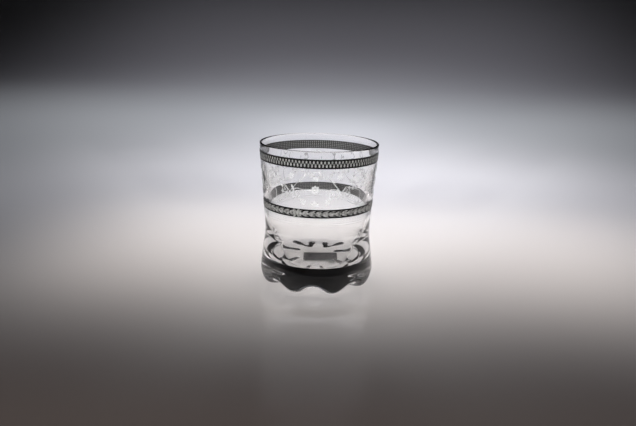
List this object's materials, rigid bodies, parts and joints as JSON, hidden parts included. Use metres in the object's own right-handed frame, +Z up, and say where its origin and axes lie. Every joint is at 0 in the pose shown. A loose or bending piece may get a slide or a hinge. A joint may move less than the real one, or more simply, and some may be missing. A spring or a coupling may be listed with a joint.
{
  "type": "rocks glass",
  "caption": "Waisted clear rocks glass with a thick fluted base on small feet, two dark metal bands, satin scrollwork between them and a lace edge below.",
  "frame": {"origin": "centre of the ring of feet, on the table plane", "axes": "+Z up through the mouth, along the glass's axis; -Y is the front, where a flute lies between two feet"},
  "size_m": [0.083, 0.083, 0.1],
  "materials": {
    "clear_glass": "clear polished glass",
    "dark_metal": "dark burnished fired-on metal",
    "pale_metal": "satin grey relief on the dark metal",
    "satin_white": "satin, as if etched in the glass",
    "grey_foil": "matt grey foil, blank"
  },
  "bodies": {
    "root": {"glass_body": "clear_glass", "upper_band": "dark_metal", "lower_band": "dark_metal", "lower_garland": "pale_metal", "frieze_vine": "satin_white", "lace_border": "satin_white", "base_label": "grey_foil"}
  },
  "joints": []
}
